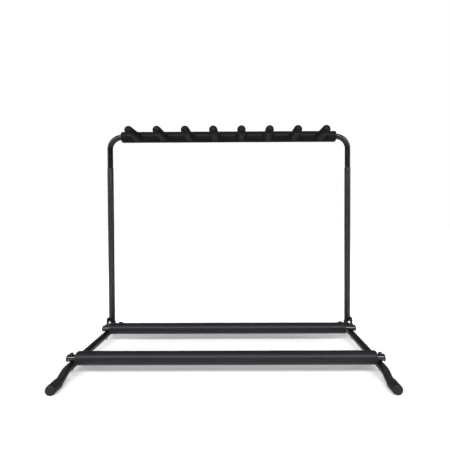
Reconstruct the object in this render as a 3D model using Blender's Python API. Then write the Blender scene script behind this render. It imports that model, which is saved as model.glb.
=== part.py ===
"""Seven-place floor rack for guitars.

Two arched leg tubes with rubber end caps lie front to back. A front and a rear
crossbar, each a steel tube in a foam sleeve, are bolted on top of them. Two
upright tubes stand in hinge brackets behind the rear crossbar, and a bent yoke
tube slides down into them. The yoke carries a moulded foam neck rest with eight
forward prongs, which leave seven places for the necks.

Metres, +Z up, +X to the rack's right as its user sees it from the front (-Y).
The origin is on the floor, in the middle of the leg tubes.
"""

import math

import bmesh
import bpy
from mathutils import Matrix, Vector

GAP = 0.0003                # running and resting gap between neighbours

# --- driving dimensions -------------------------------------------------------
LEG_X = 0.4445              # plane of each leg tube, upright and crossbar bolt
LEG_HALF = 0.230            # foot cap tip, front and rear
LEG_R, LEG_WALL = 0.01125, 0.0016
LEG_Z = 0.0284              # leg axis under the crossbars
FOOT_Z = 0.0135             # leg axis inside the foot caps
CAP_R, CAP_LENGTH, CAP_END = 0.0140, 0.036, 0.0080

BAR_Y = {"front": -0.1270, "rear": 0.0955}
BAR_Z = 0.0495
BAR_R, BAR_WALL = 0.0095, 0.0013
BAR_HALF = 0.4535           # end of the crossbar tube
BAR_END = 0.4570            # outer face of the plug in it
SLEEVE_R = 0.01925
SLEEVE_X = {"front": (-0.4285, 0.4325), "rear": (-0.4290, 0.4185)}
BOLT_R = 0.0030

UPRIGHT_Y = 0.1455
UPRIGHT_R, UPRIGHT_WALL = 0.0108, 0.0007
UPRIGHT_BOTTOM, UPRIGHT_TOP = 0.0420, 0.6345
PIVOT_Z = 0.0535
PIN_R = 0.0040
LOCK_Z = 0.0590
TAB_BACK, TAB_FRONT = 0.0165, 0.0190    # ahead of the upright's axis
CHEEK_IN, CHEEK_OUT = 0.0115, 0.0140    # outboard of the upright's axis

YOKE_R, YOKE_WALL = 0.0098, 0.0014
YOKE_BOTTOM = 0.5745        # end of the yoke's legs inside the uprights
REST_Z = 0.7510             # axis of the yoke's crossbar and the neck rest
YOKE_BEND = 0.0450

REST_HALF, REST_R = 0.3990, 0.0201
PRONGS, PRONG_PITCH = 8, 0.0965
PRONG_R, PRONG_REACH = 0.0145, 0.1090   # reach from the neck rest's axis
ROD_R, ROD_REACH = 0.0040, 0.0870

# --- materials ----------------------------------------------------------------
FINISHES = {
    # name: (colour, roughness, metallic)
    "powder_coat": ((0.030, 0.030, 0.034), 0.42, 0.0),
    "gloss_coat": ((0.012, 0.012, 0.014), 0.16, 0.0),
    "foam": ((0.024, 0.024, 0.026), 0.88, 0.0),
    "rubber": ((0.028, 0.028, 0.030), 0.70, 0.0),
    "plastic": ((0.012, 0.012, 0.013), 0.32, 0.0),
    "zinc": ((0.62, 0.63, 0.64), 0.34, 1.0),
    "black_steel": ((0.018, 0.018, 0.020), 0.38, 0.6),
    "bare_steel": ((0.40, 0.40, 0.41), 0.45, 1.0),
}


def clear_scene():
    for obj in list(bpy.data.objects):
        bpy.data.objects.remove(obj, do_unlink=True)


def finish(obj, kind):
    """Gives the object a Principled material of its own."""
    colour, roughness, metallic = FINISHES[kind]
    material = bpy.data.materials.new(obj.name)
    material.use_nodes = True
    shader = material.node_tree.nodes["Principled BSDF"]
    shader.inputs["Base Color"].default_value = (*colour, 1.0)
    shader.inputs["Roughness"].default_value = roughness
    shader.inputs["Metallic"].default_value = metallic
    material.diffuse_color = (*colour, 1.0)
    obj.data.materials.clear()
    obj.data.materials.append(material)
    return obj


def mesh_object(name, points, faces, matrix=None):
    mesh = bpy.data.meshes.new(name)
    mesh.from_pydata([tuple(p) for p in points], [], faces)
    bm = bmesh.new()
    bm.from_mesh(mesh)
    bmesh.ops.remove_doubles(bm, verts=bm.verts, dist=1e-6)
    bmesh.ops.recalc_face_normals(bm, faces=bm.faces)
    if bm.calc_volume(signed=True) < 0:
        bmesh.ops.reverse_faces(bm, faces=bm.faces)
    bm.to_mesh(mesh)
    bm.free()
    mesh.shade_smooth()
    mesh.set_sharp_from_angle(angle=math.radians(35))
    obj = bpy.data.objects.new(name, mesh)
    bpy.context.scene.collection.objects.link(obj)
    if matrix is not None:
        obj.matrix_world = matrix
    return obj


AXES = {
    "+Z": Matrix.Identity(4),
    "-Z": Matrix.Rotation(math.pi, 4, "X"),
    "+X": Matrix.Rotation(math.pi / 2, 4, "Y"),
    "-X": Matrix.Rotation(-math.pi / 2, 4, "Y"),
    "-Y": Matrix.Rotation(math.pi / 2, 4, "X"),
    "+Y": Matrix.Rotation(-math.pi / 2, 4, "X"),
}


def place(at, along):
    """World matrix that puts local +Z along the named axis, at a point."""
    return Matrix.Translation(Vector(at)) @ AXES[along]


def turned(name, profile, segments, at=(0, 0, 0), along="+Z", phase=0.0):
    """A turned piece: (radius, height) points from one end of the axis round to the
    other. A closed outline that never meets the axis makes a ring."""
    on_axis = profile[0][0] == 0 and profile[-1][0] == 0
    points, rows = [], []
    for radius, height in profile:
        if radius == 0:
            rows.append([len(points)] * segments)
            points.append((0, 0, height))
            continue
        rows.append(list(range(len(points), len(points) + segments)))
        for i in range(segments):
            angle = phase + 2 * math.pi * i / segments
            points.append((radius * math.cos(angle), radius * math.sin(angle), height))
    pairs = list(zip(rows, rows[1:]))
    if not on_axis:
        pairs.append((rows[-1], rows[0]))
    faces = []
    for low, high in pairs:
        for i in range(segments):
            j = (i + 1) % segments
            corners = [low[i], low[j], high[j], high[i]]
            face = [c for k, c in enumerate(corners) if c not in corners[:k]]
            if len(face) > 2:
                faces.append(face)
    return mesh_object(name, points, faces, place(at, along))


def pipe(name, path, outer, inner, segments, side):
    """A round tube along a planar path, open at both ends. side is the path
    plane's normal."""
    side = Vector(side)
    rings = []
    for k, point in enumerate(path):
        before = path[max(k - 1, 0)]
        after = path[min(k + 1, len(path) - 1)]
        along = (Vector(after) - Vector(before)).normalized()
        across = along.cross(side).normalized()
        for radius in (outer, inner):
            rings.append(
                [
                    Vector(point)
                    + radius * math.cos(2 * math.pi * i / segments) * across
                    + radius * math.sin(2 * math.pi * i / segments) * side
                    for i in range(segments)
                ]
            )
    points = [p for ring in rings for p in ring]

    def at(k, shell, i):
        return (2 * k + shell) * segments + i % segments

    faces = []
    last = len(path) - 1
    for i in range(segments):
        for k in range(last):
            faces.append([at(k, 0, i), at(k, 0, i + 1), at(k + 1, 0, i + 1), at(k + 1, 0, i)])
            faces.append([at(k, 1, i), at(k + 1, 1, i), at(k + 1, 1, i + 1), at(k, 1, i + 1)])
        faces.append([at(0, 0, i), at(0, 1, i), at(0, 1, i + 1), at(0, 0, i + 1)])
        faces.append([at(last, 0, i), at(last, 0, i + 1), at(last, 1, i + 1), at(last, 1, i)])
    return mesh_object(name, points, faces)


def block(name, low, high):
    points = [
        (x, y, z) for x in (low[0], high[0]) for y in (low[1], high[1]) for z in (low[2], high[2])
    ]
    faces = [[0, 1, 3, 2], [4, 6, 7, 5], [0, 4, 5, 1], [2, 3, 7, 6], [0, 2, 6, 4], [1, 5, 7, 3]]
    return mesh_object(name, points, faces)


def extruded(name, outline, low, high, axis):
    """A plate: a 2-D outline with a thickness along the named axis."""
    def point(u, v, w):
        return {"X": (w, u, v), "Y": (u, w, v)}[axis]

    count = len(outline)
    points = [point(u, v, low) for u, v in outline] + [point(u, v, high) for u, v in outline]
    faces = [list(range(count)), list(range(2 * count - 1, count - 1, -1))]
    faces += [[i, (i + 1) % count, count + (i + 1) % count, count + i] for i in range(count)]
    return mesh_object(name, points, faces)


def drill_bit(name, radius, length, at, along, segments=10, phase=0.17):
    """A cutter. Its phase keeps its edges off the lines of the piece it cuts."""
    outline = [(0, 0), (radius, 0), (radius, length), (0, length)]
    return turned(name, outline, segments, at, along, phase)


def combine(obj, other, operation):
    other.hide_render = True
    other.display_type = "WIRE"
    modifier = obj.modifiers.new(other.name, "BOOLEAN")
    modifier.operation = operation
    modifier.object = other
    modifier.solver = "EXACT"


def cut(obj, other):
    combine(obj, other, "DIFFERENCE")


def arc(centre, radius, start, end, steps):
    """2-D points on an arc, angles in degrees."""
    return [
        (
            centre[0] + radius * math.cos(math.radians(start + (end - start) * i / steps)),
            centre[1] + radius * math.sin(math.radians(start + (end - start) * i / steps)),
        )
        for i in range(steps + 1)
    ]


def smooth_step(t):
    t = min(max(t, 0.0), 1.0)
    return t * t * (3 - 2 * t)


# --- legs and feet ------------------------------------------------------------
DIP_START = {-1: -0.1480, 1: 0.1080}    # where the leg leaves its flat top run
DIP_END = {-1: -0.1935, 1: 0.1935}      # and where it runs level in the cap


def leg_height(y):
    sign = -1 if y < 0 else 1
    t = (y - DIP_START[sign]) / (DIP_END[sign] - DIP_START[sign])
    return LEG_Z + (FOOT_Z - LEG_Z) * smooth_step(t)


def leg_tube(name, x):
    end = LEG_HALF - CAP_END - GAP
    ys = [-end]
    steps = 6
    ys += [DIP_END[-1] + (DIP_START[-1] - DIP_END[-1]) * i / steps for i in range(steps + 1)]
    ys += [DIP_START[1] + (DIP_END[1] - DIP_START[1]) * i / steps for i in range(steps + 1)]
    ys += [end]
    path = [(x, y, leg_height(y)) for y in ys]
    obj = pipe(name, path, LEG_R, LEG_R - LEG_WALL, 16, (1, 0, 0))
    for place_name, y in BAR_Y.items():
        cut(obj, drill_bit(f"{name}_{place_name}_drill", BOLT_R + GAP, 0.040, (x, y, LEG_Z - 0.020), "+Z"))
    return finish(obj, "powder_coat")


def foot_cap(name, x, sign):
    """A rubber cup over the leg's end, with a flat under it that meets the floor."""
    mouth = CAP_LENGTH
    bore = LEG_R + GAP
    corner = 0.0100
    outside = [(0, 0)] + [
        (CAP_R - corner + corner * math.sin(a), corner - corner * math.cos(a))
        for a in (math.radians(d) for d in range(0, 91, 30))
    ]
    profile = outside + [
        (CAP_R, mouth - 0.0012),
        (CAP_R - 0.0012, mouth),
        (bore, mouth),
        (bore, CAP_END),
        (0, CAP_END),
    ]
    along = "-Y" if sign > 0 else "+Y"
    obj = turned(name, profile, 20, (x, sign * LEG_HALF, FOOT_Z), along)
    cut(
        obj,
        block(f"{name}_floor", (x - 0.03, sign * 0.215 - 0.04, -0.02), (x + 0.03, sign * 0.215 + 0.04, 0.0)),
    )
    return finish(obj, "rubber")


# --- crossbars ----------------------------------------------------------------
def crossbar(name, y):
    path = [(-BAR_HALF, y, BAR_Z), (BAR_HALF, y, BAR_Z)]
    obj = pipe(name, path, BAR_R, BAR_R - BAR_WALL, 16, (0, 1, 0))
    for side, x in (("left", -LEG_X), ("right", LEG_X)):
        cut(obj, drill_bit(f"{name}_{side}_drill", BOLT_R + GAP, 0.040, (x, y, BAR_Z - 0.020), "+Z"))
    return finish(obj, "gloss_coat")


def crossbar_plug(name, sign, y):
    """A moulded plug: a short stem in the tube and a domed head over its end."""
    inner = BAR_R - BAR_WALL - GAP
    head = BAR_END - BAR_HALF - GAP
    profile = [
        (0, -0.0050),
        (inner - 0.0006, -0.0050),
        (inner, -0.0044),
        (inner, 0),
        (BAR_R + 0.0006, 0),
        (BAR_R + 0.0011, 0.0005),
        (BAR_R + 0.0011, head - 0.0016),
        (BAR_R + 0.0002, head - 0.0005),
        (BAR_R - 0.0020, head),
        (0, head),
    ]
    return finish(
        turned(name, profile, 16, (sign * (BAR_HALF + GAP), y, BAR_Z), "+X" if sign > 0 else "-X"),
        "plastic",
    )


def foam_sleeve(name, low, high, y):
    """A thick foam tube pushed over the crossbar."""
    bore, edge = BAR_R + GAP, 0.0020
    length = high - low
    profile = [
        (bore, 0),
        (SLEEVE_R - edge, 0),
        (SLEEVE_R, edge),
        (SLEEVE_R, length - edge),
        (SLEEVE_R - edge, length),
        (bore, length),
    ]
    return finish(turned(name, profile, 24, (low, y, BAR_Z), "+X"), "foam")


def crossbar_bolt(name, x, y):
    """An M6 bolt down through the crossbar and the leg, with a domed head."""
    top = BAR_Z + BAR_R + GAP
    tip = 0.0090 - top
    profile = [
        (0, 0.0056),
        (0.0022, 0.0054),
        (0.0042, 0.0046),
        (0.0056, 0.0031),
        (0.0062, 0.0012),
        (0.0062, 0),
        (BOLT_R, 0),
        (BOLT_R, tip + 0.0008),
        (BOLT_R - 0.0008, tip),
        (0, tip),
    ]
    return finish(turned(name, profile, 12, (x, y, top)), "black_steel")


def crossbar_nut(name, x, y):
    """A hexagon nut under the leg."""
    top = LEG_Z - LEG_R - GAP
    height, across = 0.0060, 0.0100
    radius = across / math.sqrt(3)
    profile = [
        (BOLT_R + GAP, -height),
        (radius - 0.0007, -height),
        (radius, -height + 0.0006),
        (radius, -0.0006),
        (radius - 0.0007, 0),
        (BOLT_R + GAP, 0),
    ]
    outer = [p for p in profile if p[0] > BOLT_R + GAP]
    points, faces = [], []
    rows = []
    for radius_here, height_here in [profile[0]] + outer + [profile[-1]]:
        rows.append(list(range(len(points), len(points) + 12)))
        hexed = radius_here > BOLT_R + 2 * GAP
        for i in range(12):
            angle = math.pi * i / 6
            reach = radius_here * (math.cos(math.pi / 6) if hexed and i % 2 else 1)
            points.append((reach * math.cos(angle), reach * math.sin(angle), height_here))
    for low, high in list(zip(rows, rows[1:])) + [(rows[-1], rows[0])]:
        for i in range(12):
            j = (i + 1) % 12
            faces.append([low[i], low[j], high[j], high[i]])
    return finish(mesh_object(name, points, faces, place((x, y, top), "+Z")), "zinc")


# --- hinge --------------------------------------------------------------------
def hinge_bracket(name, sign):
    """A folded steel plate: a cheek beside the leg and the upright, and a tab that
    crosses in front of the upright."""
    y = UPRIGHT_Y
    low_x, high_x = sorted((sign * (LEG_X + CHEEK_IN + GAP), sign * (LEG_X + CHEEK_OUT + GAP)))
    cheek = (
        [(y - TAB_FRONT, 0.0230), (y + 0.0140, 0.0150)]
        + arc((y + 0.0090, 0.0680), 0.0050, 0, 90, 4)
        + [(y - 0.0080, 0.0730)]
        + arc((y - TAB_FRONT + 0.0040, 0.0672), 0.0040, 100, 180, 3)
    )
    obj = extruded(name, cheek, low_x, high_x, "X")
    inner, outer = sign * (LEG_X - 0.0070), sign * (LEG_X + CHEEK_OUT + GAP)
    tab = (
        [(inner, 0.0440), (outer, 0.0440), (outer, 0.0705)]
        + [
            (sign * (LEG_X + u), v)
            for u, v in arc((0.0010, 0.0600), 0.0080, 75, 180, 7)
        ]
    )
    if sign < 0:
        tab.reverse()
    combine(
        obj,
        extruded(f"{name}_tab", tab, y - TAB_FRONT, y - TAB_BACK, "Y"),
        "UNION",
    )
    cut(obj, drill_bit(f"{name}_pivot_drill", PIN_R + GAP, 0.020, (sign * (LEG_X + 0.005), y, PIVOT_Z), "+X" if sign > 0 else "-X"))
    cut(obj, drill_bit(f"{name}_lock_drill", BOLT_R + GAP, 0.012, (sign * LEG_X, y - TAB_FRONT - 0.005, LOCK_Z), "+Y"))
    return finish(obj, "powder_coat")


def hinge_pin(name, sign):
    """A shoulder rivet through the cheek and the upright, headed at both ends."""
    inner = LEG_X - UPRIGHT_R - GAP
    outer = LEG_X + CHEEK_OUT + 2 * GAP
    length = outer - inner
    profile = [
        (0, -0.0016),
        (0.0040, -0.0014),
        (0.0056, -0.0006),
        (0.0056, 0),
        (PIN_R, 0),
        (PIN_R, length),
        (0.0068, length),
        (0.0068, length + 0.0012),
        (0.0052, length + 0.0028),
        (0.0026, length + 0.0036),
        (0, length + 0.0038),
    ]
    return finish(
        turned(name, profile, 12, (sign * inner, UPRIGHT_Y, PIVOT_Z), "+X" if sign > 0 else "-X"),
        "black_steel",
    )


def lock_bolt(name, sign):
    """A zinc bolt with a domed head in the bracket's tab, facing the front."""
    face = UPRIGHT_Y - TAB_FRONT - GAP
    tip = TAB_FRONT - TAB_BACK + GAP + 0.0004
    profile = [
        (0, 0.0042),
        (0.0022, 0.0040),
        (0.0042, 0.0030),
        (0.0053, 0.0014),
        (0.0055, 0),
        (BOLT_R, 0),
        (BOLT_R, -tip),
        (0, -tip),
    ]
    return finish(turned(name, profile, 14, (sign * LEG_X, face, LOCK_Z), "-Y"), "zinc")


def upright_tube(name, sign):
    x = sign * LEG_X
    lip = 0.0012
    bore = UPRIGHT_R - UPRIGHT_WALL
    length = UPRIGHT_TOP - UPRIGHT_BOTTOM
    profile = [
        (bore, 0),
        (UPRIGHT_R, 0),
        (UPRIGHT_R, length - lip),
        (UPRIGHT_R - 0.0004, length),
        (bore, length),
    ]
    obj = turned(name, profile, 16, (x, UPRIGHT_Y, UPRIGHT_BOTTOM))
    cut(obj, drill_bit(f"{name}_pivot_drill", PIN_R + GAP, 0.040, (x - 0.020, UPRIGHT_Y, PIVOT_Z), "+X", 12))
    return finish(obj, "powder_coat")


# --- yoke and neck rest -------------------------------------------------------
def yoke_tube(name):
    steps = 6
    reach = LEG_X - YOKE_BEND
    left = arc((-reach, REST_Z - YOKE_BEND), YOKE_BEND, 180, 90, steps)
    right = arc((reach, REST_Z - YOKE_BEND), YOKE_BEND, 90, 0, steps)
    flat = [(-LEG_X, YOKE_BOTTOM)] + left + right + [(LEG_X, YOKE_BOTTOM)]
    path = [(x, UPRIGHT_Y, z) for x, z in flat]
    return finish(pipe(name, path, YOKE_R, YOKE_R - YOKE_WALL, 16, (0, 1, 0)), "gloss_coat")


def prong_x(index):
    return (index - (PRONGS - 1) / 2) * PRONG_PITCH


def prong_rod(name, index):
    """A steel rod welded square to the yoke, inside a prong."""
    start = YOKE_R + GAP
    length = ROD_REACH - start
    profile = [(0, 0), (ROD_R, 0), (ROD_R, length - 0.001), (ROD_R - 0.001, length), (0, length)]
    obj = turned(name, profile, 8, (prong_x(index), UPRIGHT_Y - start, REST_Z), "-Y")
    return finish(obj, "bare_steel")


def neck_rest(name):
    """One foam moulding: a round bar over the yoke and eight prongs that flare
    into it, so each place between two prongs is a U."""
    length, edge = 2 * REST_HALF, 0.0030
    profile = [
        (0, 0),
        (REST_R - edge, 0),
        (REST_R, edge),
        (REST_R, length - edge),
        (REST_R - edge, length),
        (0, length),
    ]
    obj = turned(name, profile, 20, (-REST_HALF, UPRIGHT_Y, REST_Z), "+X")
    tip = PRONG_REACH - PRONG_R
    for index in range(PRONGS):
        flare = [(0, 0), (0.0192, 0), (0.0190, 0.0160), (0.0168, 0.0250), (PRONG_R, 0.0390)]
        end = [
            (PRONG_R * math.cos(math.radians(a)), tip + PRONG_R * math.sin(math.radians(a)))
            for a in (0, 30, 60)
        ]
        combine(
            obj,
            turned(
                f"{name}_prong_{index + 1}",
                flare + end + [(0, PRONG_REACH)],
                14,
                (prong_x(index), UPRIGHT_Y, REST_Z),
                "-Y",
            ),
            "UNION",
        )
    cut(obj, drill_bit(f"{name}_bore", YOKE_R + GAP, 2 * REST_HALF + 0.02, (-REST_HALF - 0.01, UPRIGHT_Y, REST_Z), "+X", 16))
    for index in range(PRONGS):
        cut(
            obj,
            drill_bit(
                f"{name}_rod_bore_{index + 1}",
                ROD_R + GAP,
                ROD_REACH + GAP,
                (prong_x(index), UPRIGHT_Y, REST_Z),
                "-Y",
                8,
            ),
        )
    return finish(obj, "foam")


def build():
    clear_scene()
    for side, sign in (("left", -1), ("right", 1)):
        x = sign * LEG_X
        leg_tube(f"leg_tube_{side}", x)
        foot_cap(f"foot_cap_front_{side}", x, -1)
        foot_cap(f"foot_cap_rear_{side}", x, 1)
        for where, y in BAR_Y.items():
            crossbar_plug(f"crossbar_plug_{where}_{side}", sign, y)
            crossbar_bolt(f"crossbar_bolt_{where}_{side}", x, y)
            crossbar_nut(f"crossbar_nut_{where}_{side}", x, y)
        hinge_bracket(f"hinge_bracket_{side}", sign)
        hinge_pin(f"hinge_pin_{side}", sign)
        lock_bolt(f"lock_bolt_{side}", sign)
        upright_tube(f"upright_tube_{side}", sign)
    for where, y in BAR_Y.items():
        crossbar(f"crossbar_tube_{where}", y)
        foam_sleeve(f"foam_sleeve_{where}", *SLEEVE_X[where], y)
    yoke_tube("yoke_tube")
    neck_rest("neck_rest")
    for index in range(PRONGS):
        prong_rod(f"prong_rod_{index + 1}", index)


build()
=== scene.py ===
"""Looks of the seven-place guitar rack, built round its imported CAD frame.

Every piece is made here in the row frame, in metres, on the sizes of the CAD node
that it stands for: +X to the right seen from the front, +Z up, floor at z = 0.
"""

import math

import bmesh
import bpy
import numpy as np
from mathutils import Matrix, Vector, noise

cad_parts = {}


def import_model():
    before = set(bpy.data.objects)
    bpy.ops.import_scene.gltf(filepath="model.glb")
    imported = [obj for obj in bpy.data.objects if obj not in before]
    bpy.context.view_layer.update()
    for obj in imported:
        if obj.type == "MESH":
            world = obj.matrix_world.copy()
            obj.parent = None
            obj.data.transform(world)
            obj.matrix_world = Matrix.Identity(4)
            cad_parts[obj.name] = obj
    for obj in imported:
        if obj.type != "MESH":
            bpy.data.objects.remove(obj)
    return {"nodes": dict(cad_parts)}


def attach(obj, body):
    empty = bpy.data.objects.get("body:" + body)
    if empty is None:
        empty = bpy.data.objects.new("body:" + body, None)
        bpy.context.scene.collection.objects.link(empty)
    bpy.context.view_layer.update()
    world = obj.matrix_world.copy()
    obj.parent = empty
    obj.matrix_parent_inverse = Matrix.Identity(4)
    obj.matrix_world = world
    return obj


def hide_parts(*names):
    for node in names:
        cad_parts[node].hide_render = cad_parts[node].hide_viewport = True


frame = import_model()
bpy.context.view_layer.update()

# --- sizes shared with the CAD ------------------------------------------------
GAP = 0.0003
LEG_X, LEG_HALF, LEG_R, LEG_WALL = 0.4445, 0.230, 0.01125, 0.0016
LEG_Z, FOOT_Z = 0.0284, 0.0135
CAP_R, CAP_LENGTH, CAP_END = 0.0140, 0.036, 0.0080
DIP_START = {-1: -0.1480, 1: 0.1080}
DIP_END = {-1: -0.1935, 1: 0.1935}

BAR_Y = {"front": -0.1270, "rear": 0.0955}
BAR_Z, BAR_R, BAR_WALL, BAR_HALF, BAR_END = 0.0495, 0.0095, 0.0013, 0.4535, 0.4570
SLEEVE_R = 0.01925
SLEEVE_X = {"front": (-0.4285, 0.4325), "rear": (-0.4290, 0.4185)}
BOLT_R = 0.0030

UPRIGHT_Y, UPRIGHT_R, UPRIGHT_WALL = 0.1455, 0.0108, 0.0007
UPRIGHT_BOTTOM, UPRIGHT_TOP = 0.0420, 0.6345
PIVOT_Z, PIN_R, LOCK_Z = 0.0535, 0.0040, 0.0590
TAB_BACK, TAB_FRONT, CHEEK_IN, CHEEK_OUT = 0.0165, 0.0190, 0.0115, 0.0140

YOKE_R, YOKE_WALL, YOKE_BOTTOM, REST_Z, YOKE_BEND = 0.0098, 0.0014, 0.5745, 0.7510, 0.0450
REST_HALF, REST_R = 0.3990, 0.0201
PRONGS, PRONG_PITCH, PRONG_R, PRONG_REACH = 8, 0.0965, 0.0145, 0.1090


# --- mesh tools ---------------------------------------------------------------
def smooth_step(t):
    t = np.clip(t, 0.0, 1.0)
    return t * t * (3 - 2 * t)


def mesh_object(name, points, faces, sharp=35.0):
    mesh = bpy.data.meshes.new(name)
    mesh.from_pydata([tuple(p) for p in np.asarray(points, float)], [], faces)
    bm = bmesh.new()
    bm.from_mesh(mesh)
    bmesh.ops.recalc_face_normals(bm, faces=bm.faces)
    if bm.calc_volume(signed=True) < 0:
        bmesh.ops.reverse_faces(bm, faces=bm.faces)
    bm.to_mesh(mesh)
    bm.free()
    mesh.shade_smooth()
    mesh.set_sharp_from_angle(angle=math.radians(sharp))
    obj = bpy.data.objects.new(name, mesh)
    bpy.context.scene.collection.objects.link(obj)
    return obj


def rings_to_mesh(name, rings, closed=False, start=None, end=None, sharp=35.0):
    """Skins a row of rings. closed joins the last ring to the first; start and end
    are pole points that close an open row."""
    rings = np.asarray(rings, float)
    count, around = rings.shape[:2]
    points = rings.reshape(-1, 3)
    faces = []
    index = np.arange(count * around).reshape(count, around)
    rows = [(index[k], index[k + 1]) for k in range(count - 1)]
    if closed:
        rows.append((index[-1], index[0]))
    for low, high in rows:
        low_next, high_next = np.roll(low, -1), np.roll(high, -1)
        faces += np.stack([low, low_next, high_next, high], 1).tolist()
    extra = []
    for pole, row, flip in ((start, index[0], True), (end, index[-1], False)):
        if pole is None:
            continue
        tip = len(points) + len(extra)
        extra.append(pole)
        follow = np.roll(row, -1)
        for a, b in zip(row.tolist(), follow.tolist()):
            faces.append([b, a, tip] if flip else [a, b, tip])
    if extra:
        points = np.vstack([points, np.asarray(extra, float)])
    return mesh_object(name, points, faces, sharp)


AXES = {
    "+Z": Matrix.Identity(4),
    "-Z": Matrix.Rotation(math.pi, 4, "X"),
    "+X": Matrix.Rotation(math.pi / 2, 4, "Y"),
    "-X": Matrix.Rotation(-math.pi / 2, 4, "Y"),
    "-Y": Matrix.Rotation(math.pi / 2, 4, "X"),
    "+Y": Matrix.Rotation(-math.pi / 2, 4, "X"),
}


def place(at, along):
    return Matrix.Translation(Vector(at)) @ AXES[along]


def rounded(corners, steps=4):
    """A 2-D outline from (u, v, radius) corners, with each corner turned into a
    short curve."""
    out = []
    last = len(corners) - 1
    for i, (u, v, radius) in enumerate(corners):
        here = np.array([u, v], float)
        if radius <= 0 or i in (0, last):
            out.append(tuple(here))
            continue
        before = np.array(corners[i - 1][:2], float) - here
        after = np.array(corners[i + 1][:2], float) - here
        a, b = np.linalg.norm(before), np.linalg.norm(after)
        before, after = before / a, after / b
        half = math.acos(max(-1.0, min(1.0, float(before @ after)))) / 2
        reach = min(radius / max(math.tan(half), 1e-6), 0.48 * a, 0.48 * b)
        p, q = here + before * reach, here + after * reach
        for k in range(steps + 1):
            t = k / steps
            out.append(tuple((1 - t) ** 2 * p + 2 * t * (1 - t) * here + t * t * q))
    return out


def lathe(name, profile, segments, at=(0, 0, 0), along="+Z", phase=0.0, warp=None, sharp=35.0):
    """Turns (radius, height) points round an axis. Points on the axis, at either
    end, close it; an outline that never meets the axis makes a ring."""
    profile = [(float(r), float(h)) for r, h in profile]
    start = end = None
    if profile[0][0] < 1e-9:
        start, profile = (0, 0, profile[0][1]), profile[1:]
    if profile[-1][0] < 1e-9:
        end, profile = (0, 0, profile[-1][1]), profile[:-1]
    angles = phase + 2 * math.pi * np.arange(segments) / segments
    rings = []
    for radius, height in profile:
        ring = np.stack(
            [radius * np.cos(angles), radius * np.sin(angles), np.full(segments, height)], 1
        )
        rings.append(ring)
    rings = np.array(rings)
    matrix = np.array(place(at, along), float)

    def world(p):
        return np.asarray(p, float) @ matrix[:3, :3].T + matrix[:3, 3]

    rings = world(rings.reshape(-1, 3)).reshape(rings.shape)
    if warp is not None:
        rings = warp(rings)
    return rings_to_mesh(
        name,
        rings,
        closed=start is None and end is None,
        start=None if start is None else world(start),
        end=None if end is None else world(end),
        sharp=sharp,
    )


def swept_tube(name, path, side, outer, inner, lip, segments=48, sharp=35.0):
    """A bent round tube with rolled lips at both open ends. side is the normal of
    the path's plane."""
    path = np.asarray(path, float)
    side = np.asarray(side, float)
    tangents = np.gradient(path, axis=0)
    tangents /= np.linalg.norm(tangents, axis=1)[:, None]
    angles = 2 * math.pi * np.arange(segments) / segments
    cos, sin = np.cos(angles)[:, None], np.sin(angles)[:, None]

    def ring(centre, tangent, radius):
        across = np.cross(tangent, side)
        across /= np.linalg.norm(across)
        return centre + radius * (cos * across + sin * side)

    def lip_rings(point, tangent):
        out = []
        for angle in (0, 30, 60, 90):
            a = math.radians(angle)
            centre = point + tangent * lip * (1 - math.cos(a))
            out.append((centre, outer - lip * (1 - math.sin(a))))
        return out

    rings = [ring(c, tangents[0], r) for c, r in lip_rings(path[0], tangents[0])]
    rings += [ring(p, t, outer) for p, t in zip(path[1:-1], tangents[1:-1])]
    rings += [ring(c, tangents[-1], r) for c, r in lip_rings(path[-1], -tangents[-1])[::-1]]
    rings += [ring(p, t, inner) for p, t in list(zip(path, tangents))[::-1]]
    return rings_to_mesh(name, rings, closed=True, sharp=sharp)


def arc(centre, radius, start, end, steps):
    return [
        (
            centre[0] + radius * math.cos(math.radians(start + (end - start) * i / steps)),
            centre[1] + radius * math.sin(math.radians(start + (end - start) * i / steps)),
        )
        for i in range(steps + 1)
    ]


def extruded(name, outline, low, high, axis, sharp=35.0):
    def point(u, v, w):
        return {"X": (w, u, v), "Y": (u, w, v), "Z": (u, v, w)}[axis]

    count = len(outline)
    points = [point(u, v, low) for u, v in outline] + [point(u, v, high) for u, v in outline]
    faces = [list(range(count)), list(range(2 * count - 1, count - 1, -1))]
    faces += [[i, (i + 1) % count, count + (i + 1) % count, count + i] for i in range(count)]
    return mesh_object(name, points, faces, sharp)


def baked(obj, sharp=35.0):
    """Replaces the object's mesh by what its modifiers make, and drops them."""
    bpy.context.view_layer.update()
    graph = bpy.context.evaluated_depsgraph_get()
    mesh = bpy.data.meshes.new_from_object(
        obj.evaluated_get(graph), preserve_all_data_layers=True, depsgraph=graph
    )
    obj.modifiers.clear()
    old, obj.data = obj.data, mesh
    mesh.name = obj.name
    bpy.data.meshes.remove(old)
    mesh.shade_smooth()
    mesh.set_sharp_from_angle(angle=math.radians(sharp))
    return obj


def boolean(obj, others, operation="DIFFERENCE", sharp=35.0):
    for other in others:
        modifier = obj.modifiers.new(other.name, "BOOLEAN")
        modifier.operation = operation
        modifier.object = other
        modifier.solver = "EXACT"
    baked(obj, sharp)
    for other in others:
        mesh = other.data
        bpy.data.objects.remove(other, do_unlink=True)
        bpy.data.meshes.remove(mesh)
    return obj


def bevelled(obj, width, segments=3, angle=32.0, sharp=40.0):
    modifier = obj.modifiers.new("bevel", "BEVEL")
    modifier.width = width
    modifier.segments = segments
    modifier.limit_method = "ANGLE"
    modifier.angle_limit = math.radians(angle)
    modifier.use_clamp_overlap = True
    return baked(obj, sharp)


def drill(name, radius, length, at, along, segments=32, phase=0.07):
    return lathe(name, [(0, 0), (radius, 0), (radius, length), (0, length)], segments, at, along, phase)


def coordinates(obj):
    co = np.empty(len(obj.data.vertices) * 3, np.float32)
    obj.data.vertices.foreach_get("co", co)
    return co.reshape(-1, 3).astype(float)


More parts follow.
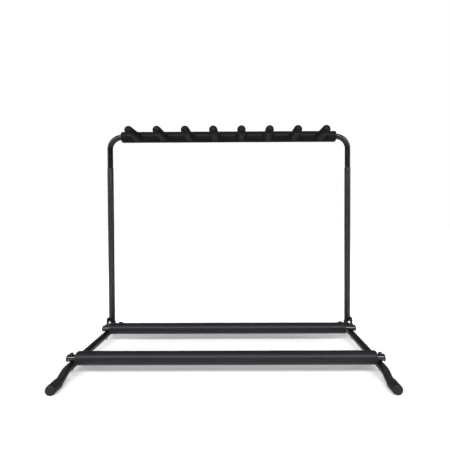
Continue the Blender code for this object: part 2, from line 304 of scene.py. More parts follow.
def set_coordinates(obj, co):
    obj.data.vertices.foreach_set("co", np.asarray(co, np.float32).ravel())
    obj.data.update()


def wave(points, scale, seed):
    """Smooth noise in -1..1 at each point, one bump per 1/scale metres."""
    out = np.empty(len(points))
    shift = Vector((seed * 17.3, seed * 5.1, seed * 9.7))
    for i, p in enumerate(points):
        out[i] = noise.noise(Vector(p) * scale + shift)
    return out


# --- materials ----------------------------------------------------------------
def shader(name):
    material = bpy.data.materials.new(name)
    material.use_nodes = True
    tree = material.node_tree
    bsdf = tree.nodes["Principled BSDF"]
    where = tree.nodes.new("ShaderNodeTexCoord").outputs["Object"]
    return material, tree, bsdf, where


def grain(tree, where, scale, detail=2.0, rough=0.5, distortion=0.0, stretch=None):
    if stretch is not None:
        mapping = tree.nodes.new("ShaderNodeMapping")
        mapping.inputs["Scale"].default_value = stretch
        tree.links.new(where, mapping.inputs["Vector"])
        where = mapping.outputs["Vector"]
    node = tree.nodes.new("ShaderNodeTexNoise")
    node.inputs["Scale"].default_value = scale
    node.inputs["Detail"].default_value = detail
    node.inputs["Roughness"].default_value = rough
    node.inputs["Distortion"].default_value = distortion
    tree.links.new(where, node.inputs["Vector"])
    return node.outputs["Fac"]


def cells(tree, where, scale, feature="F1", smooth=None):
    node = tree.nodes.new("ShaderNodeTexVoronoi")
    node.feature = feature
    node.inputs["Scale"].default_value = scale
    if smooth is not None and "Smoothness" in node.inputs:
        node.inputs["Smoothness"].default_value = smooth
    tree.links.new(where, node.inputs["Vector"])
    return node.outputs["Distance"]


def spread(tree, value, low, high, out_low, out_high):
    node = tree.nodes.new("ShaderNodeMapRange")
    node.clamp = True
    tree.links.new(value, node.inputs["Value"])
    for key, number in (("From Min", low), ("From Max", high), ("To Min", out_low), ("To Max", out_high)):
        node.inputs[key].default_value = number
    return node.outputs["Result"]


def ramp(tree, value, stops):
    node = tree.nodes.new("ShaderNodeValToRGB")
    elements = node.color_ramp.elements
    while len(elements) < len(stops):
        elements.new(0.5)
    for element, (position, colour) in zip(elements, stops):
        element.position = position
        element.color = (*colour, 1.0)
    tree.links.new(value, node.inputs["Fac"])
    return node.outputs["Color"]


def maths(tree, operation, a, b):
    node = tree.nodes.new("ShaderNodeMath")
    node.operation = operation
    for socket, value in zip(node.inputs, (a, b)):
        if isinstance(value, (int, float)):
            socket.default_value = value
        else:
            tree.links.new(value, socket)
    return node.outputs["Value"]


def bump(tree, bsdf, layers):
    """Stacks (height, strength, distance) bumps into the shader's normal."""
    normal = None
    for height, strength, distance in layers:
        node = tree.nodes.new("ShaderNodeBump")
        node.inputs["Strength"].default_value = strength
        node.inputs["Distance"].default_value = distance
        tree.links.new(height, node.inputs["Height"])
        if normal is not None:
            tree.links.new(normal, node.inputs["Normal"])
        normal = node.outputs["Normal"]
    tree.links.new(normal, bsdf.inputs["Normal"])


def foam_material(name, dark, light, seed=0.0, shine=0.24):
    """Closed-cell foam: a fine skin of sub-millimetre cells, slightly uneven."""
    material, tree, bsdf, where = shader(name)
    cloud = grain(tree, where, 26.0 + seed, 3.0, 0.55)
    speck = grain(tree, where, 900.0, 2.0, 0.6)
    cell = cells(tree, where, 1150.0, "SMOOTH_F1", 0.35)
    tone = maths(tree, "ADD", maths(tree, "MULTIPLY", cloud, 0.7), maths(tree, "MULTIPLY", speck, 0.3))
    tree.links.new(
        ramp(tree, tone, [(0.30, dark), (0.72, light)]), bsdf.inputs["Base Color"]
    )
    tree.links.new(spread(tree, speck, 0.3, 0.7, 0.36, 0.47), bsdf.inputs["Roughness"])
    bsdf.inputs["Specular IOR Level"].default_value = shine
    bsdf.inputs["Sheen Weight"].default_value = 0.02
    bsdf.inputs["Sheen Roughness"].default_value = 0.45
    bump(
        tree,
        bsdf,
        [
            (cloud, 0.12, 0.0008),
            (cell, 0.22, 0.00018),
            (speck, 0.16, 0.00012),
        ],
    )
    return material


def powder_material(name):
    """Satin black powder coat with orange peel and a fine grit."""
    material, tree, bsdf, where = shader(name)
    peel = grain(tree, where, 620.0, 2.0, 0.5)
    grit = grain(tree, where, 2600.0, 1.0, 0.5)
    cloud = grain(tree, where, 18.0, 4.0, 0.6)
    tree.links.new(
        ramp(tree, cloud, [(0.32, (0.0055, 0.0057, 0.0067)), (0.70, (0.0080, 0.0082, 0.0094))]),
        bsdf.inputs["Base Color"],
    )
    tree.links.new(spread(tree, cloud, 0.3, 0.7, 0.30, 0.36), bsdf.inputs["Roughness"])
    bsdf.inputs["Specular IOR Level"].default_value = 0.50
    bump(tree, bsdf, [(peel, 0.12, 0.00012), (grit, 0.06, 0.00005)])
    return material


def gloss_material(name, rough_low=0.17, rough_high=0.22, coat=0.10):
    """Gloss black stoving paint, with the faint waviness of a drawn tube."""
    material, tree, bsdf, where = shader(name)
    draw = grain(tree, where, 90.0, 2.0, 0.5, stretch=(0.25, 1.0, 1.0))
    peel = grain(tree, where, 420.0, 1.0, 0.4)
    cloud = grain(tree, where, 22.0, 3.0, 0.6)
    tree.links.new(
        ramp(tree, cloud, [(0.30, (0.0025, 0.0026, 0.0030)), (0.72, (0.0042, 0.0043, 0.0050))]),
        bsdf.inputs["Base Color"],
    )
    tree.links.new(spread(tree, cloud, 0.3, 0.7, rough_low, rough_high), bsdf.inputs["Roughness"])
    bsdf.inputs["Coat Weight"].default_value = coat
    bsdf.inputs["Specular IOR Level"].default_value = 0.36
    bsdf.inputs["Coat Roughness"].default_value = 0.08
    bump(tree, bsdf, [(draw, 0.03, 0.0003), (peel, 0.04, 0.00006)])
    return material


def rubber_material(name):
    """Moulded rubber, a fine matt skin that greys where it meets the floor."""
    material, tree, bsdf, where = shader(name)
    skin = grain(tree, where, 1500.0, 2.0, 0.6)
    cloud = grain(tree, where, 45.0, 4.0, 0.6)
    split = tree.nodes.new("ShaderNodeSeparateXYZ")
    tree.links.new(where, split.inputs[0])
    scuff = maths(
        tree,
        "MULTIPLY",
        spread(tree, split.outputs["Z"], 0.0002, 0.0050, 1.0, 0.0),
        spread(tree, grain(tree, where, 260.0, 4.0, 0.7), 0.42, 0.66, 0.15, 1.0),
    )
    mix = tree.nodes.new("ShaderNodeMix")
    mix.data_type = "RGBA"
    tree.links.new(scuff, mix.inputs["Factor"])
    tree.links.new(
        ramp(tree, cloud, [(0.30, (0.0095, 0.0097, 0.0110)), (0.72, (0.0140, 0.0143, 0.0158))]),
        mix.inputs["A"],
    )
    mix.inputs["B"].default_value = (0.075, 0.073, 0.070, 1.0)
    tree.links.new(mix.outputs["Result"], bsdf.inputs["Base Color"])
    tree.links.new(spread(tree, cloud, 0.3, 0.7, 0.52, 0.66), bsdf.inputs["Roughness"])
    bsdf.inputs["Specular IOR Level"].default_value = 0.24
    bump(tree, bsdf, [(cloud, 0.15, 0.0006), (skin, 0.25, 0.00010)])
    return material


def plastic_material(name):
    """Gloss black injection moulding."""
    material, tree, bsdf, where = shader(name)
    cloud = grain(tree, where, 120.0, 3.0, 0.5)
    skin = grain(tree, where, 1800.0, 1.0, 0.5)
    tree.links.new(
        ramp(tree, cloud, [(0.30, (0.0030, 0.0031, 0.0036)), (0.72, (0.0050, 0.0051, 0.0058))]),
        bsdf.inputs["Base Color"],
    )
    tree.links.new(spread(tree, cloud, 0.3, 0.7, 0.10, 0.15), bsdf.inputs["Roughness"])
    bsdf.inputs["Coat Weight"].default_value = 0.8
    bsdf.inputs["Coat Roughness"].default_value = 0.05
    bump(tree, bsdf, [(cloud, 0.08, 0.0004), (skin, 0.10, 0.00004)])
    return material


def metal_material(name, dark, light, rough_low, rough_high, metallic=1.0, scratch=0.25):
    """Plated or oxidised steel, with turning marks and uneven tone."""
    material, tree, bsdf, where = shader(name)
    cloud = grain(tree, where, 240.0, 4.0, 0.6)
    marks = grain(tree, where, 900.0, 3.0, 0.65, stretch=(1.0, 1.0, 6.0))
    tree.links.new(ramp(tree, cloud, [(0.30, dark), (0.72, light)]), bsdf.inputs["Base Color"])
    tree.links.new(spread(tree, marks, 0.3, 0.7, rough_low, rough_high), bsdf.inputs["Roughness"])
    bsdf.inputs["Metallic"].default_value = metallic
    bump(tree, bsdf, [(marks, scratch, 0.00006), (cloud, 0.15, 0.00012)])
    return material


MATERIALS = {
    "foam": foam_material("foam_sleeve_skin", (0.0062, 0.0063, 0.0100), (0.0102, 0.0104, 0.0150)),
    "rest": foam_material("foam_rest_skin", (0.0030, 0.0031, 0.0038), (0.0055, 0.0057, 0.0067), 3.0, 0.08),
    "powder": powder_material("powder_coat_black"),
    "gloss": gloss_material("gloss_coat_black"),
    "bar_gloss": gloss_material("bar_gloss_black", 0.07, 0.10, 1.0),
    "rubber": rubber_material("rubber_foot"),
    "plastic": plastic_material("plastic_plug"),
    "zinc": metal_material("zinc_plate", (0.52, 0.53, 0.55), (0.70, 0.70, 0.70), 0.24, 0.40),
    "black_steel": metal_material(
        "black_oxide", (0.016, 0.016, 0.018), (0.030, 0.030, 0.032), 0.26, 0.42, 0.55
    ),
    "bare_steel": metal_material("bare_steel", (0.30, 0.30, 0.31), (0.46, 0.45, 0.44), 0.34, 0.52),
}


def dressed(obj, kind, body, *nodes):
    obj.data.materials.clear()
    obj.data.materials.append(MATERIALS[kind])
    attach(obj, body)
    if nodes:
        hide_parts(*nodes)
    return obj


# --- legs and feet ------------------------------------------------------------
def leg_height(y):
    sign = -1 if y < 0 else 1
    t = (y - DIP_START[sign]) / (DIP_END[sign] - DIP_START[sign])
    return LEG_Z + (FOOT_Z - LEG_Z) * float(smooth_step(t))


def leg(side, x):
    end = LEG_HALF - CAP_END - GAP
    ys = np.unique(
        np.round(
            np.concatenate(
                [
                    [-end, end],
                    np.linspace(-end, DIP_END[-1], 5),
                    np.linspace(DIP_END[-1], DIP_START[-1], 26),
                    np.linspace(DIP_START[-1], DIP_START[1], 30),
                    [BAR_Y["front"] - 0.008, BAR_Y["front"] + 0.008],
                    [BAR_Y["rear"] - 0.008, BAR_Y["rear"] + 0.008],
                    np.linspace(DIP_START[1], DIP_END[1], 34),
                    np.linspace(DIP_END[1], end, 5),
                ]
            ),
            6,
        )
    )
    path = [(x, y, leg_height(y)) for y in ys]
    obj = swept_tube(f"leg_{side}", path, (1, 0, 0), LEG_R, LEG_R - LEG_WALL, 0.0004, 48)
    boolean(
        obj,
        [
            drill(f"cut_{side}_{w}", BOLT_R + GAP, 0.040, (x, y, LEG_Z - 0.020), "+Z")
            for w, y in BAR_Y.items()
        ],
    )
    return dressed(obj, "powder", "base", f"leg_tube_{side}")


def foot(where, side, x, sign):
    """A moulded rubber cup: a domed toe, a slight taper, a bead round the mouth and
    a flat under it."""
    bore, mouth = LEG_R + GAP, CAP_LENGTH
    outline = rounded(
        [
            (0, 0, 0),
            (CAP_R - 0.0002, 0.0, 0.0092),
            (CAP_R - 0.0002, 0.0200, 0.004),
            (CAP_R - 0.0006, mouth - 0.0052, 0.0006),
            (CAP_R, mouth - 0.0046, 0.0005),
            (CAP_R, mouth, 0.0011),
            (bore, mouth, 0.0005),
            (bore, CAP_END, 0.0004),
            (0, CAP_END, 0),
        ],
        8,
    )
    fine = [outline[0]]
    for a, b in zip(outline, outline[1:]):  # keeps the rings no more than 2.5 mm apart
        steps = max(1, int(math.dist(a, b) / 0.0025))
        fine += [
            (a[0] + (b[0] - a[0]) * k / steps, a[1] + (b[1] - a[1]) * k / steps)
            for k in range(1, steps + 1)
        ]

    obj = lathe(
        f"foot_{where}_{side}",
        fine,
        72,
        (x, sign * LEG_HALF, FOOT_Z),
        "-Y" if sign > 0 else "+Y",
        math.pi / 2 - math.pi / 72,
        sharp=40,
    )
    co = coordinates(obj)
    outside = np.hypot(co[:, 0] - x, co[:, 2] - FOOT_Z) > bore + 0.0004
    under = outside & (co[:, 2] < 0.00045)
    co[under, 2] = np.maximum(co[under, 2], 0.0)
    set_coordinates(obj, co)
    return dressed(obj, "rubber", "base", f"foot_cap_{where}_{side}")


# --- crossbars ----------------------------------------------------------------
def bar(where, y):
    xs = np.unique(
        np.round(
            np.concatenate(
                [
                    np.linspace(-BAR_HALF, BAR_HALF, 60),
                    [s * (LEG_X + d) for s in (-1, 1) for d in (-0.0085, -0.0045, 0.0045)],
                ]
            ),
            6,
        )
    )
    path = [(x, y, BAR_Z) for x in xs]
    obj = swept_tube(f"bar_{where}", path, (0, 1, 0), BAR_R, BAR_R - BAR_WALL, 0.0003, 48)
    boolean(
        obj,
        [
            drill(f"cut_{where}_{s}", BOLT_R + GAP, 0.040, (s * LEG_X, y, BAR_Z - 0.020), "+Z")
            for s in (-1, 1)
        ],
    )
    return dressed(obj, "bar_gloss", "base", f"crossbar_tube_{where}")


def plug(where, side, sign, y):
    """A push-in moulding: a ribbed stem in the tube, a domed head over its end."""
    inner = BAR_R - BAR_WALL - GAP
    head = BAR_END - BAR_HALF - GAP
    corners = [(0, -0.0050, 0), (inner - 0.0008, -0.0050, 0.0005), (inner - 0.0004, -0.0040, 0.0002)]
    for k in range(3):
        base = -0.0038 + 0.0012 * k
        corners += [
            (inner, base + 0.0001, 0.0001),
            (inner, base + 0.0006, 0.0001),
            (inner - 0.0004, base + 0.0008, 0.0001),
        ]
    corners += [
        (inner - 0.0004, 0, 0),
        (BAR_R + 0.0008, 0, 0.0003),
        (BAR_R + 0.0011, 0.0004, 0.0003),
        (BAR_R + 0.0011, head - 0.0018, 0.0008),
        (BAR_R + 0.0001, head - 0.0005, 0.0010),
        (BAR_R - 0.0032, head, 0.0030),
        (0, head, 0),
    ]
    obj = lathe(
        f"plug_{where}_{side}",
        rounded(corners, 4),
        56,
        (sign * (BAR_HALF + GAP), y, BAR_Z),
        "+X" if sign > 0 else "-X",
    )
    return dressed(obj, "plastic", "base", f"crossbar_plug_{where}_{side}")


def sleeve(where, low, high, y, seed):
    """The thick foam tube: soft cut ends, a surface a little uneven by hand."""
    bore = BAR_R + 0.0002
    length = high - low
    ends = rounded([(bore, 0, 0), (SLEEVE_R, 0, 0.0018), (SLEEVE_R, 0.02, 0)], 7)[:-1]
    flat = [(bore + (ends[1][0] - bore) * k / 3, 0.0) for k in range(3)]
    start = flat + ends[1:]
    middle = [(SLEEVE_R, h) for h in np.linspace(0.0055, length - 0.0055, 300)]
    finish = [(r, length - h) for r, h in reversed(start)]
    inner = [(bore, length * k / 24) for k in range(23, 0, -1)]
    profile = start + middle + finish + inner

    def warp(rings):
        flatten = rings.reshape(-1, 3)
        radial = flatten[:, 1:] - np.array([y, BAR_Z])
        radius = np.linalg.norm(radial, axis=1)
        outer = np.clip((radius - bore) / (SLEEVE_R - bore), 0, 1)
        lump = 0.00016 * wave(flatten, 14.0, seed) + 0.00007 * wave(flatten, 70.0, seed + 1)
        lump -= 0.00012
        flatten[:, 1:] += radial / radius[:, None] * (lump * outer)[:, None]
        near = np.minimum(flatten[:, 0] - low, high - flatten[:, 0])
        sign = np.where(flatten[:, 0] - low < high - flatten[:, 0], 1, -1)
        soft = np.clip(1 - near / 0.006, 0, 1) * outer
        flatten[:, 0] += sign * soft * 0.0003 * (1 + wave(flatten, 90.0, seed + 2)) * 0.5
        return flatten.reshape(rings.shape)

    obj = lathe(f"foam_bar_{where}", profile, 56, (low, y, BAR_Z), "+X", warp=warp, sharp=60)
    dressed(obj, "foam", "base", f"foam_sleeve_{where}")
    return obj


def hex_points(across, phase=0.0):
    radius = across / math.sqrt(3)
    return [
        (radius * math.cos(phase + math.pi * k / 3), radius * math.sin(phase + math.pi * k / 3))
        for k in range(6)
    ]


def bolt(where, side, x, y):
    """A button-head socket screw with a rolled thread below the nut."""
    top = BAR_Z + BAR_R + GAP
    tip = 0.0090 - top
    head = [
        (0, 0.0056, 0),
        (0.0030, 0.0055, 0.0020),
        (0.0048, 0.0042, 0.0022),
        (0.0060, 0.0020, 0.0012),
        (0.0062, 0.0006, 0.0004),
        (0.0060, 0.0, 0.0002),
        (BOLT_R, 0, 0),
    ]
    profile = rounded(head, 6)
    pitch = 0.0010
    height = -0.0340
    profile.append((BOLT_R, height))
    while height - pitch > tip + 0.0006:
        profile += [
            (BOLT_R - 0.00045, height - 0.45 * pitch),
            (BOLT_R - 0.00045, height - 0.55 * pitch),
            (BOLT_R, height - 0.95 * pitch),
            (BOLT_R, height - 1.0 * pitch),
        ]
        height -= pitch
    profile += [(BOLT_R - 0.0008, tip), (0, tip)]
    obj = lathe(f"bolt_{where}_{side}", profile, 40, (x, y, top), sharp=40)
    recess = extruded(
        f"cut_{where}_{side}",
        [(x + u, y + v) for u, v in hex_points(0.0040, 0.3)],
        top + 0.0030,
        top + 0.0080,
        "Z",
    )
    boolean(obj, [recess], sharp=40)
    return dressed(obj, "black_steel", "base", f"crossbar_bolt_{where}_{side}")


def nut(where, side, x, y):
    """A hexagon nut with both faces chamfered and a countersunk thread."""
    top = LEG_Z - LEG_R - GAP
    height, across = 0.0060, 0.0100
    radius = across / math.sqrt(3)
    turned = lathe(
        f"nut_{where}_{side}",
        [
            (0, -height),
            (across / 2 - 0.0002, -height),
            (radius + 0.0001, -height + 0.0006),
            (radius + 0.0001, -0.0006),
            (across / 2 - 0.0002, 0),
            (0, 0),
        ],
        60,
        (x, y, top),
    )
    hexagon = extruded(
        f"hex_{where}_{side}",
        [(x + u, y + v) for u, v in hex_points(across, 0.0)],
        top - height - 0.001,
        top + 0.001,
        "Z",
    )
    boolean(turned, [hexagon], "INTERSECT", sharp=25)
    thread = [(0, -height - 0.001), (BOLT_R + 0.0010, -height - 0.001), (BOLT_R + GAP, -height + 0.0006)]
    thread += [(BOLT_R + GAP, -0.0006), (BOLT_R + 0.0010, 0.001), (0, 0.001)]
    boolean(turned, [lathe(f"cut_{where}_{side}", thread, 32, (x, y, top), phase=0.05)], sharp=25)
    return dressed(turned, "zinc", "base", f"crossbar_nut_{where}_{side}")


# --- hinge --------------------------------------------------------------------
def bracket(side, sign):
    """A bent steel plate: an L in plan, cut to the cheek's outline from the side and
    the tab's from the front."""
    y = UPRIGHT_Y
    out_x, in_x = CHEEK_OUT + GAP, CHEEK_IN + GAP
    front, back = y - TAB_FRONT, y - TAB_BACK
    bend = 0.0034
    thick = out_x - in_x
    plan = (
        [(out_x, y + 0.0140)]
        + arc((out_x - bend, front + bend), bend, 0, -90, 7)
        + [(-0.0070, front), (-0.0070, back)]
        + arc((out_x - bend, front + bend), bend - thick, -90, 0, 6)
        + [(in_x, y + 0.0140)]
    )
    obj = extruded(
        f"bracket_{side}", [(sign * (LEG_X + u), v) for u, v in plan], 0.010, 0.080, "Z"
    )
    cheek = (
        [(front - 0.001, 0.0230), (y + 0.0140, 0.0150)]
        + arc((y + 0.0090, 0.0680), 0.0050, 0, 90, 9)
        + [(y - 0.0080, 0.0730)]
        + arc((front + 0.0040, 0.0672), 0.0040, 100, 165, 7)
        + [(front - 0.001, 0.0660)]
    )
    tab = (
        [(out_x + 0.001, 0.005), (out_x + 0.001, 0.085), (0.0110, 0.085), (0.0110, 0.0694)]
        + arc((0.0010, 0.0600), 0.0080, 75, 180, 14)
        + [(-0.0070, 0.0440), (0.0110, 0.0440), (0.0110, 0.005)]
    )
    boolean(
        obj,
        [
            extruded(f"side_{side}", cheek, sign * (LEG_X - 0.03), sign * (LEG_X + 0.03), "X"),
            extruded(
                f"face_{side}", [(sign * (LEG_X + u), v) for u, v in tab], y - 0.05, y + 0.05, "Y"
            ),
        ],
        "INTERSECT",
    )
    bevelled(obj, 0.0004, 3)
    boolean(
        obj,
        [
            drill(
                f"cut_pivot_{side}",
                PIN_R + GAP,
                0.020,
                (sign * (LEG_X + 0.005), y, PIVOT_Z),
                "+X" if sign > 0 else "-X",
            ),
            drill(f"cut_lock_{side}", BOLT_R + GAP, 0.012, (sign * LEG_X, front - 0.005, LOCK_Z), "+Y"),
        ],
        sharp=40,
    )
    return dressed(obj, "powder", "base", f"hinge_bracket_{side}")


def rivet(side, sign):
    inner = LEG_X - UPRIGHT_R - GAP
    length = LEG_X + CHEEK_OUT + 2 * GAP - inner
    corners = [
        (0, -0.0016, 0),
        (0.0040, -0.0015, 0.0020),
        (0.0056, -0.0006, 0.0006),
        (0.0056, 0, 0.0001),
        (PIN_R, 0, 0),
        (PIN_R, length, 0),
        (0.0067, length, 0.0002),
        (0.0068, length + 0.0010, 0.0008),
        (0.0054, length + 0.0028, 0.0020),
        (0.0026, length + 0.0037, 0.0020),
        (0, length + 0.0038, 0),
    ]
    obj = lathe(
        f"rivet_{side}",
        rounded(corners, 6),
        44,
        (sign * inner, UPRIGHT_Y, PIVOT_Z),
        "+X" if sign > 0 else "-X",
    )
    return dressed(obj, "black_steel", "base", f"hinge_pin_{side}")


def lock(side, sign):
    """A zinc button-head screw in the bracket's tab, facing the front."""
    face = UPRIGHT_Y - TAB_FRONT - GAP
    tip = TAB_FRONT - TAB_BACK + GAP + 0.0004
    corners = [
        (0, 0.0042, 0),
        (0.0024, 0.0041, 0.0015),
        (0.0043, 0.0030, 0.0018),
        (0.0054, 0.0012, 0.0008),
        (0.0055, 0.0003, 0.0002),
        (0.0053, 0, 0.0001),
        (BOLT_R, 0, 0),
        (BOLT_R, -tip + 0.0004, 0.0002),
        (BOLT_R - 0.0004, -tip, 0.0001),
        (0, -tip, 0),
    ]
    obj = lathe(f"lock_{side}", rounded(corners, 6), 44, (sign * LEG_X, face, LOCK_Z), "-Y", sharp=40)
    recess = extruded(
        f"cut_{side}",
        [(sign * LEG_X + u, LOCK_Z + v) for u, v in hex_points(0.0030, 0.2)],
        face - 0.0080,
        face - 0.0022,
        "Y",
    )
    boolean(obj, [recess], sharp=40)
    return dressed(obj, "zinc", "base", f"lock_bolt_{side}")


def weld(side, sign):
    """The bead that joins the bracket's cheek to the leg, above and below."""
    x = sign * (LEG_X + CHEEK_IN + GAP)
    made = []
    for level, rise in (("upper", 0.0078), ("lower", -0.0074)):
        ys = np.linspace(UPRIGHT_Y - 0.0150, UPRIGHT_Y + 0.0115, 90)
        rings = []
        for k, yy in enumerate(ys):
            ripple = 0.00022 * math.sin(k * 1.15) + 0.00010 * math.sin(k * 0.37 + sign)
            fade = math.sqrt(max(1 - abs(2 * k / 89 - 1) ** 6, 0.02))
            radius = (0.0019 + ripple) * fade
            reach = math.sqrt(max(LEG_R**2 - rise**2, 0))
            centre_x = sign * (LEG_X + reach + (CHEEK_IN + GAP - reach) * 0.52)
            centre_z = leg_height(yy) + rise + (0.0007 if rise > 0 else -0.0007)
            angles = 2 * math.pi * np.arange(18) / 18
            rings.append(
                np.stack(
                    [
                        np.clip(
                            (centre_x + 1.35 * radius * np.cos(angles)) * sign,
                            None,
                            abs(x) + 0.0002,
                        )
                        * sign,
                        np.full(18, yy),
                        centre_z + radius * np.sin(angles),
                    ],
                    1,
                )
            )
        obj = rings_to_mesh(
            f"weld_{level}_{side}",
            rings,
            start=rings[0].mean(0) - (0, 0.0004, 0),
            end=rings[-1].mean(0) + (0, 0.0004, 0),
            sharp=60,
        )
        made.append(dressed(obj, "powder", "base"))
    return made


def upright(side, sign):
    x, length = sign * LEG_X, UPRIGHT_TOP - UPRIGHT_BOTTOM
    bore = UPRIGHT_R - UPRIGHT_WALL
    outer = rounded(
        [
            (bore, 0, 0),
            (UPRIGHT_R, 0, 0.0004),
            (UPRIGHT_R, length - 0.0012, 0.0006),
            (UPRIGHT_R - 0.0004, length, 0.0003),
            (bore, length, 0),
        ],
        4,
    )
    profile = []
    for a, b in zip(outer, outer[1:] + outer[:1]):
        steps = max(1, int(abs(b[1] - a[1]) / 0.012))
        profile += [
            (a[0] + (b[0] - a[0]) * k / steps, a[1] + (b[1] - a[1]) * k / steps)
            for k in range(steps)
        ]
    obj = lathe(f"upright_{side}", profile, 48, (x, UPRIGHT_Y, UPRIGHT_BOTTOM))
    boolean(
        obj,
        [drill(f"cut_{side}", PIN_R + GAP, 0.040, (x - 0.020, UPRIGHT_Y, PIVOT_Z), "+X")],
    )
    return dressed(obj, "powder", "uprights", f"upright_tube_{side}")


# --- yoke and neck rest -------------------------------------------------------
def yoke():
    reach = LEG_X - YOKE_BEND
    left = arc((-reach, REST_Z - YOKE_BEND), YOKE_BEND, 180, 90, 26)
    right = arc((reach, REST_Z - YOKE_BEND), YOKE_BEND, 90, 0, 26)
    stem = [(LEG_X, z) for z in np.linspace(YOKE_BOTTOM, REST_Z - YOKE_BEND, 12)[:-1]]
    beam = [(x, REST_Z) for x in np.linspace(-reach, reach, 40)[1:-1]]
    flat = [(-x, z) for x, z in stem] + left + beam + right + stem[::-1]
    path = [(x, UPRIGHT_Y, z) for x, z in flat]
    obj = swept_tube("yoke", path, (0, 1, 0), YOKE_R, YOKE_R - YOKE_WALL, 0.0004, 48)
    return dressed(obj, "gloss", "yoke", "yoke_tube")


def prong_x(index):
    return (index - (PRONGS - 1) / 2) * PRONG_PITCH


def rest_distance(p):
    """Signed distance, near enough, to the moulding: a bar with soft ends and eight
    prongs that flare into it."""
    u, v, w = p[:, 0], UPRIGHT_Y - p[:, 1], p[:, 2] - REST_Z

    def soft_cylinder(radial, along, radius, half, edge):
        a, b = radial - (radius - edge), along - (half - edge)
        return (
            np.minimum(np.maximum(a, b), 0)
            + np.hypot(np.maximum(a, 0), np.maximum(b, 0))
            - edge
        )

    rail = soft_cylinder(np.hypot(v, w), np.abs(u), REST_R - 0.0001, REST_HALF, 0.0042)
    index = np.clip(np.round(u / PRONG_PITCH + (PRONGS - 1) / 2), 0, PRONGS - 1)
    du = u - (index - (PRONGS - 1) / 2) * PRONG_PITCH
    flare = 1 - smooth_step((v - 0.0120) / 0.0290)
    radius = PRONG_R + (0.0166 - PRONG_R) * flare
    prong = np.maximum(soft_cylinder(np.hypot(du, w), v, radius, PRONG_REACH, 0.0105), 0.002 - v)
    k = 0.0110 * np.clip(1 - (w / 0.0200) ** 2, 0.02, 1)
    h = np.clip(0.5 + 0.5 * (prong - rail) / k, 0, 1)
    return prong + (rail - prong) * h - k * h * (1 - h)


def neck_rest():
    """One moulding, skinned on its distance field, so the fillets between rail and
    prongs are true curves."""
    rail = lathe(
        "rest_foam",
        [(0, 0), (REST_R, 0), (REST_R, 2 * REST_HALF), (0, 2 * REST_HALF)],
        48,
        (-REST_HALF, UPRIGHT_Y, REST_Z),
        "+X",
    )
    prongs = [
        lathe(
            f"prong_{i}",
            [(0, 0), (0.0180, 0), (0.0180, 0.020), (PRONG_R, 0.038), (PRONG_R, PRONG_REACH - 0.004), (PRONG_R - 0.004, PRONG_REACH), (0, PRONG_REACH)],
            40,
            (prong_x(i), UPRIGHT_Y, REST_Z),
            "-Y",
            0.03,
        )
        for i in range(PRONGS)
    ]
    boolean(rail, prongs, "UNION")
    remesh = rail.modifiers.new("remesh", "REMESH")
    remesh.mode = "VOXEL"
    remesh.voxel_size = 0.0016
    baked(rail, 60)
    co = coordinates(rail)
    step = 1e-4
    for _ in range(7):
        value = rest_distance(co)
        slope = np.stack(
            [
                rest_distance(co + step * axis) - rest_distance(co - step * axis)
                for axis in np.eye(3)
            ],
            1,
        ) / (2 * step)
        size = np.maximum(np.linalg.norm(slope, axis=1), 0.3)
        co -= slope / size[:, None] ** 2 * value[:, None]
    value = slope / size[:, None]
    lump = 0.00020 * wave(co, 16.0, 5) + 0.00008 * wave(co, 75.0, 6) - 0.00014
    co += value * lump[:, None]
    set_coordinates(rail, co)
    boolean(
        rail,
        [
            drill(
                "cut_rest",
                YOKE_R + 0.0002,
                2 * REST_HALF + 0.04,
                (-REST_HALF - 0.02, UPRIGHT_Y, REST_Z),
                "+X",
                48,
            )
        ],
        sharp=60,
    )
    dressed(rail, "rest", "yoke", "neck_rest")
    return rail


# --- the rack -----------------------------------------------------------------
for side, sign in (("left", -1), ("right", 1)):
    x = sign * LEG_X
    leg(side, x)
    foot("front", side, x, -1)
    foot("rear", side, x, 1)
    for where, y in BAR_Y.items():
        plug(where, side, sign, y)
        bolt(where, side, x, y)
        nut(where, side, x, y)
    bracket(side, sign)
    rivet(side, sign)
    lock(side, sign)
    weld(side, sign)
    upright(side, sign)
for number, (where, y) in enumerate(BAR_Y.items()):
    bar(where, y)
    sleeve(where, *SLEEVE_X[where], y, 2.0 + 3.0 * number)
yoke()
neck_rest()
for index in range(PRONGS):
    rod = frame["nodes"][f"prong_rod_{index + 1}"]
    rod.data.materials.clear()
    rod.data.materials.append(MATERIALS["bare_steel"])


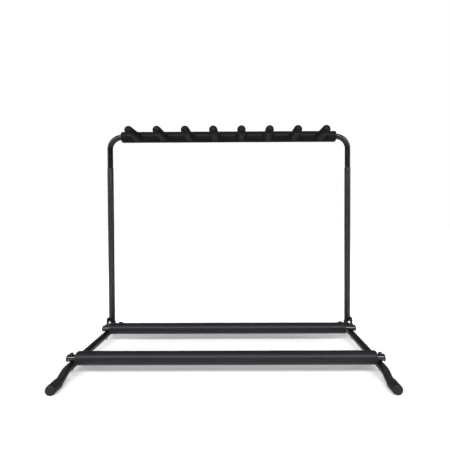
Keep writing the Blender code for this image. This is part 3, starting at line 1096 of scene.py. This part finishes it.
# --- studio -------------------------------------------------------------------
def floor():
    size, count = 14.0, 28
    ticks = np.linspace(-size / 2, size / 2, count + 1)
    points = [(x, y, 0.0) for y in ticks for x in ticks]
    faces = [
        [r * (count + 1) + c, r * (count + 1) + c + 1, (r + 1) * (count + 1) + c + 1, (r + 1) * (count + 1) + c]
        for r in range(count)
        for c in range(count)
    ]
    mesh = bpy.data.meshes.new("studio_floor")
    mesh.from_pydata(points, [], faces)
    obj = bpy.data.objects.new("studio_floor", mesh)
    bpy.context.scene.collection.objects.link(obj)
    material = bpy.data.materials.new("studio_floor")
    material.use_nodes = True
    tree = material.node_tree
    bsdf = tree.nodes["Principled BSDF"]
    where = tree.nodes.new("ShaderNodeTexCoord").outputs["Object"]
    tone = grain(tree, where, 3.0, 2.0, 0.5)
    tree.links.new(
        ramp(tree, tone, [(0.3, (0.90, 0.90, 0.90)), (0.7, (0.92, 0.92, 0.92))]),
        bsdf.inputs["Base Color"],
    )
    bsdf.inputs["Roughness"].default_value = 0.9
    bsdf.inputs["Specular IOR Level"].default_value = 0.1
    # far from the rack the floor glows for the camera alone, so it has no horizon
    shift = tree.nodes.new("ShaderNodeVectorMath")
    shift.operation = "ADD"
    tree.links.new(where, shift.inputs[0])
    shift.inputs[1].default_value = (0.0, 0.30, 0.0)
    split = tree.nodes.new("ShaderNodeVectorMath")
    split.operation = "LENGTH"
    tree.links.new(shift.outputs["Vector"], split.inputs[0])
    far = spread(tree, split.outputs["Value"], 0.50, 1.15, 0.18, 1.0)
    rays = tree.nodes.new("ShaderNodeLightPath")
    tree.links.new(
        maths(tree, "MULTIPLY", far, rays.outputs["Is Camera Ray"]), bsdf.inputs["Emission Strength"]
    )
    bsdf.inputs["Emission Color"].default_value = (1.0, 1.0, 1.0, 1.0)
    mesh.materials.append(material)
    return obj


def softbox(name, at, aim, width, height, power, colour=(1, 1, 1)):
    data = bpy.data.lights.new(name, "AREA")
    data.shape = "RECTANGLE"
    data.size, data.size_y = width, height
    data.energy = power
    data.color = colour
    obj = bpy.data.objects.new(name, data)
    obj.location = at
    obj.rotation_mode = "QUATERNION"
    obj.rotation_quaternion = (Vector(aim) - Vector(at)).to_track_quat("-Z", "Y")
    bpy.context.scene.collection.objects.link(obj)
    return obj


floor()
softbox("key", (0.0, -1.85, 1.85), (0, 0.0, 0.1), 4.8, 0.6, 113)
softbox("top", (0.0, 0.3, 3.2), (0, 0.1, 0.2), 4.0, 3.4, 18)
softbox("front", (0.05, -3.0, 0.60), (0, 0, 0.35), 0.45, 0.9, 5)
softbox("left", (-2.4, -0.3, 0.85), (0, 0, 0.35), 0.35, 1.5, 10)
softbox("right", (2.4, -0.3, 0.85), (0, 0, 0.35), 0.35, 1.5, 10)

world = bpy.data.worlds.new("studio")
bpy.context.scene.world = world
world.use_nodes = True
tree = world.node_tree
background = tree.nodes["Background"]
background.inputs["Color"].default_value = (1.0, 1.0, 1.0, 1.0)
background.inputs["Strength"].default_value = 0.08
bright = tree.nodes.new("ShaderNodeBackground")
bright.inputs["Color"].default_value = (1.0, 1.0, 1.0, 1.0)
bright.inputs["Strength"].default_value = 1.0
rays = tree.nodes.new("ShaderNodeLightPath")
choose = tree.nodes.new("ShaderNodeMixShader")
tree.links.new(rays.outputs["Is Camera Ray"], choose.inputs["Fac"])
tree.links.new(background.outputs["Background"], choose.inputs[1])
tree.links.new(bright.outputs["Background"], choose.inputs[2])
tree.links.new(choose.outputs["Shader"], tree.nodes["World Output"].inputs["Surface"])

scene = bpy.context.scene
scene.view_settings.view_transform = "Standard"
scene.view_settings.look = "None"
scene.view_settings.exposure = 0.0
scene.view_settings.gamma = 1.0

lens = bpy.data.cameras.new("camera")
lens.sensor_width = 36.0
lens.lens = 301.19 / 450 * 36.0
lens.shift_x, lens.shift_y = -15.76 / 450, -6.71 / 450
lens.clip_start, lens.clip_end = 0.01, 60.0
camera = bpy.data.objects.new("camera", lens)
pitch, yaw, roll = math.radians(1.033), math.radians(-0.221), math.radians(0.235)
forward = Vector(
    (math.sin(yaw) * math.cos(pitch), math.cos(yaw) * math.cos(pitch), -math.sin(pitch))
)
across = Vector((math.cos(yaw), -math.sin(yaw), 0.0))
down = forward.cross(across)
right = math.cos(roll) * across + math.sin(roll) * down
down = -math.sin(roll) * across + math.cos(roll) * down
camera.matrix_world = Matrix.Translation((0.0486, -0.9871, 0.4667)) @ Matrix(
    (right, -down, -forward)
).transposed().to_4x4()
scene.collection.objects.link(camera)
scene.camera = camera

bpy.context.view_layer.update()
